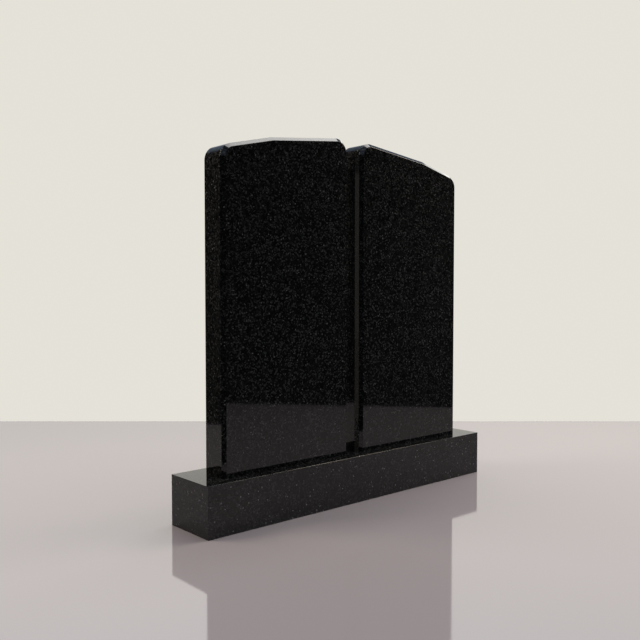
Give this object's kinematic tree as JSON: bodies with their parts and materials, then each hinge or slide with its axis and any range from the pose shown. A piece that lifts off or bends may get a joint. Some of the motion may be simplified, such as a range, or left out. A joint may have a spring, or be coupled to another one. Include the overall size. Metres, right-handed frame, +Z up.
{
  "type": "headstone",
  "caption": "Headstone for a shared grave: bevelled upright tablets with rising tops and round corners, side by side on a long low plinth.",
  "frame": {"origin": "on the ground, under the middle of the plinth", "axes": "+Z up, the tablets' faces look along -Y, +X to the right of somebody who faces them"},
  "size_m": [1.2, 0.192, 1.1685],
  "materials": {
    "plinth_polish": "mirror-polished black granite with fine grey crystals",
    "tablet_polish": "mirror-polished black granite with fine grey crystals"
  },
  "bodies": {
    "root": {"plinth": "plinth_polish", "left_tablet": "tablet_polish", "right_tablet": "tablet_polish"}
  },
  "joints": []
}
